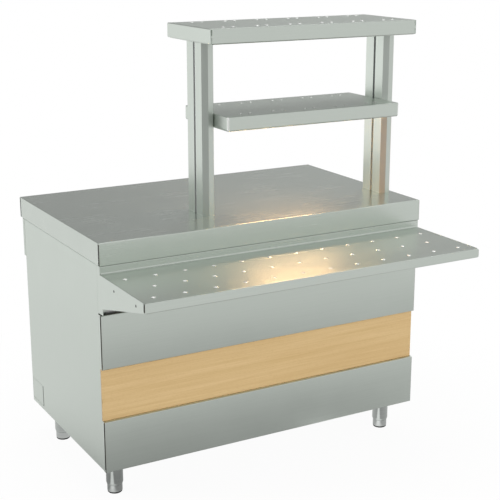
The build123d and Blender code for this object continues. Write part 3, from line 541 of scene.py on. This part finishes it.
# a painted pale streak out from each front leg, a painted reflection that shows as an upright band in the
# tube
streak_from_leg, streak_turn, streak_size = (-0.157, -0.1135), 0.607, (0.18, 0.05, 1.0)
gaps = []
for corner in ("front_left", "front_right"):
    low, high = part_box("leg_" + corner)
    spot = [(low[i] + high[i]) / 2 + streak_from_leg[i] for i in (0, 1)] + [0.0]
    inside = add(sweep, "Mapping", {"Vector": place, "Location": spot, "Rotation": (0, 0, streak_turn),
                                    "Scale": streak_size}, vector_type="TEXTURE")
    gaps.append(add(sweep, "VectorMath", {0: inside.outputs[0]}, operation="LENGTH").outputs["Value"])
nearest = add(sweep, "Math", {0: gaps[0], 1: gaps[1]}, operation="MINIMUM")
streak = add(sweep, "MapRange", {"Value": nearest.outputs[0], "From Min": 1.3, "From Max": 0.6,
                                 "To Max": 0.62}, **smooth)
mirror = add(sweep, "Math", {0: plain_mirror.outputs[0], 1: streak.outputs[0]}, operation="ADD")
# the camera sees white, less so near the counter, where the card shows through with its shadow
ray = add(sweep, "LightPath", {})
to_camera = ray.outputs["Is Camera Ray"]
away = add(sweep, "VectorMath", {0: place}, operation="LENGTH")
far = add(sweep, "MapRange", {"Value": away.outputs["Value"], "From Min": 0.7, "From Max": 1.6}, **smooth)
in_view = add(sweep, "MapRange", {"Value": far.outputs[0], "To Min": 0.95, "To Max": 1.0})
seen = add(sweep, "Math", {0: to_camera, 1: in_view.outputs[0]}, operation="MULTIPLY")
mirrored = add(sweep, "Math", {0: ray.outputs["Is Glossy Ray"], 1: ray.outputs["Is Transmission Ray"]},
               operation="MAXIMUM")
share = add(sweep, "Math", {0: mirrored.outputs[0], 1: seen.outputs[0]}, operation="MAXIMUM")
tone = add(sweep, "Mix", {"Factor": to_camera, colour_a: linear("#9a9a98"), colour_b: linear("#f4f4f2")},
           data_type="RGBA")
card = add(sweep, "BsdfDiffuse", {"Color": tone.outputs[colour_out]})
glow = add(sweep, "Mix", {"Factor": to_camera, "A": mirror.outputs[0], "B": 1.0})
white = add(sweep, "Emission", {"Color": (1, 1, 1, 1), "Strength": glow.outputs[0]})
blend = add(sweep, "MixShader", {0: share.outputs[0], 1: card.outputs[0], 2: white.outputs[0]})
add(sweep, "OutputMaterial", {"Surface": blend.outputs[0]})
floor.data.materials.append(sweep)

# Studio room: white to the camera, and a soft pale grey where it lights the counter and shows in its metal.
# It is dimmer on the camera's side and overhead, and that is what the front and level faces mirror.
room = bpy.data.worlds.new("studio_room")
bpy.context.scene.world = room
room.use_nodes = True
room.node_tree.nodes.clear()
look = add(room, "TexCoord", {}).outputs["Generated"]
way = add(room, "SeparateXYZ", {"Vector": look})
aside, up = way.outputs["X"], way.outputs["Z"]


def toward(direction, edge, core, outside, inside):
    """One level away from a direction in the room and another near it, by the cosines at edge and core."""
    near = add(room, "VectorMath", {0: look, 1: direction}, operation="DOT_PRODUCT")
    level = add(room, "MapRange", {"Value": near.outputs["Value"], "From Min": edge, "From Max": core,
                                   "To Min": outside, "To Max": inside}, **smooth)
    return level.outputs[0]


# the camera's side falls off upwards, and two parts of its left-hand corner are dim
lift = add(room, "MapRange", {"Value": up, "From Min": -0.05, "From Max": 0.20, "To Min": 0.77,
                              "To Max": 0.83}, **smooth)
fall = add(room, "MapRange", {"Value": up, "From Min": 0.35, "From Max": 0.85, "To Max": 0.46}, **smooth)
ahead = add(room, "Math", {0: lift.outputs[0], 1: fall.outputs[0]}, operation="SUBTRACT")
dim_corner = toward((-0.66, -0.72, -0.20), edge=0.55, core=0.80, outside=1.0, inside=0.40)
dim_end = toward((-0.95, -0.20, -0.22), edge=0.78, core=0.93, outside=1.0, inside=0.1)
shadow = add(room, "Math", {0: dim_corner, 1: dim_end}, operation="MULTIPLY")
front = add(room, "Math", {0: ahead.outputs[0], 1: shadow.outputs[0]}, operation="MINIMUM")
# the far side falls off upwards too and is brighter on the left, as by a window,
# and one darker place on it shows as the darker left half of the worktop
horizon = add(room, "MapRange", {"Value": up, "From Min": 0.0, "From Max": 0.18, "To Min": 0.81,
                                 "To Max": 0.53}, **smooth)
upper = add(room, "MapRange", {"Value": up, "From Min": 0.10, "From Max": 0.30, "To Max": 0.16}, **smooth)
window = add(room, "MapRange", {"Value": aside, "From Min": -0.46, "From Max": -0.70,
                                "To Max": 0.6}, **smooth)
pale = add(room, "Math", {0: horizon.outputs[0], 1: window.outputs[0]}, operation="ADD")
dusk = toward((0.20, 0.95, 0.23), edge=0.94, core=0.985, outside=0.0, inside=0.065)
dimmer = add(room, "Math", {0: upper.outputs[0], 1: dusk}, operation="ADD")
back = add(room, "Math", {0: pale.outputs[0], 1: dimmer.outputs[0]}, operation="SUBTRACT")
turn = toward(behind_counter, edge=-0.3, core=0.3, outside=0.0, inside=1.0)
level = add(room, "Mix", {"Factor": turn, "A": front.outputs[0], "B": back.outputs[0]})
# a softbox high up behind gives the bosses their white glint,
# and a small one overhead shows as a thin line along folds and the foot of the apron
glint = toward((0.45, 0.40, 0.80), edge=0.955, core=0.985, outside=0.0, inside=1.6)
edge_line = toward((0.47, -0.27, 0.84), edge=0.95, core=0.985, outside=0.0, inside=0.4)
shine = add(room, "Math", {0: glint, 1: edge_line}, operation="ADD")
total = add(room, "Math", {0: level.outputs[0], 1: shine.outputs[0]}, operation="ADD")
soft = add(room, "Background", {"Color": (1, 1, 1, 1), "Strength": total.outputs[0]})
plain = add(room, "Background", {"Color": (1, 1, 1, 1), "Strength": 1.0})
ray = add(room, "LightPath", {})
seen = add(room, "MixShader", {0: ray.outputs["Is Camera Ray"], 1: soft.outputs[0], 2: plain.outputs[0]})
add(room, "OutputWorld", {"Surface": seen.outputs[0]})


# Studio lamps: large soft boxes, a low one in front, one high on the left and one overhead.
# They light what isn't metal, and the metal mirrors the room instead of them.
def softbox(name, spot, target, size, watts):
    """A large soft lamp at a spot, turned to a target."""
    lamp = bpy.data.lights.new(name, "AREA")
    lamp.shape = "RECTANGLE"
    lamp.size, lamp.size_y = size
    lamp.energy = watts
    holder = bpy.data.objects.new(name, lamp)
    bpy.context.collection.objects.link(holder)
    holder.location = spot
    aim = [t - s for t, s in zip(target, spot)]
    flat = math.hypot(aim[0], aim[1])
    holder.rotation_euler = (math.atan2(flat, -aim[2]), 0, math.atan2(-aim[0], aim[1]))
    holder.visible_glossy = False


softbox("key_front", spot=(0.2, -3.6, 0.5), target=(0, -0.2, 0.5), size=(2.4, 0.8), watts=70)
softbox("fill_left", spot=(-4.2, 0.6, 2.4), target=(0, 0, 0.6), size=(2.6, 2.2), watts=60)
softbox("overhead", spot=(0.0, 0.001, 4.2), target=(0, 0, 0), size=(2.4, 2.4), watts=60)

# Camera: the photograph's own place and lens, worked out from the counter's edges.
eye = bpy.data.cameras.new("photo_camera")
eye.sensor_width = 36.0
eye.lens = 83.41
camera = bpy.data.objects.new("photo_camera", eye)
bpy.context.collection.objects.link(camera)
camera.location = (-1.8512, -3.3467, 1.7830)
camera.rotation_euler = (math.radians(74.56), 0, math.radians(-29.41))
bpy.context.scene.camera = camera
bpy.context.scene.view_settings.view_transform = "Standard"
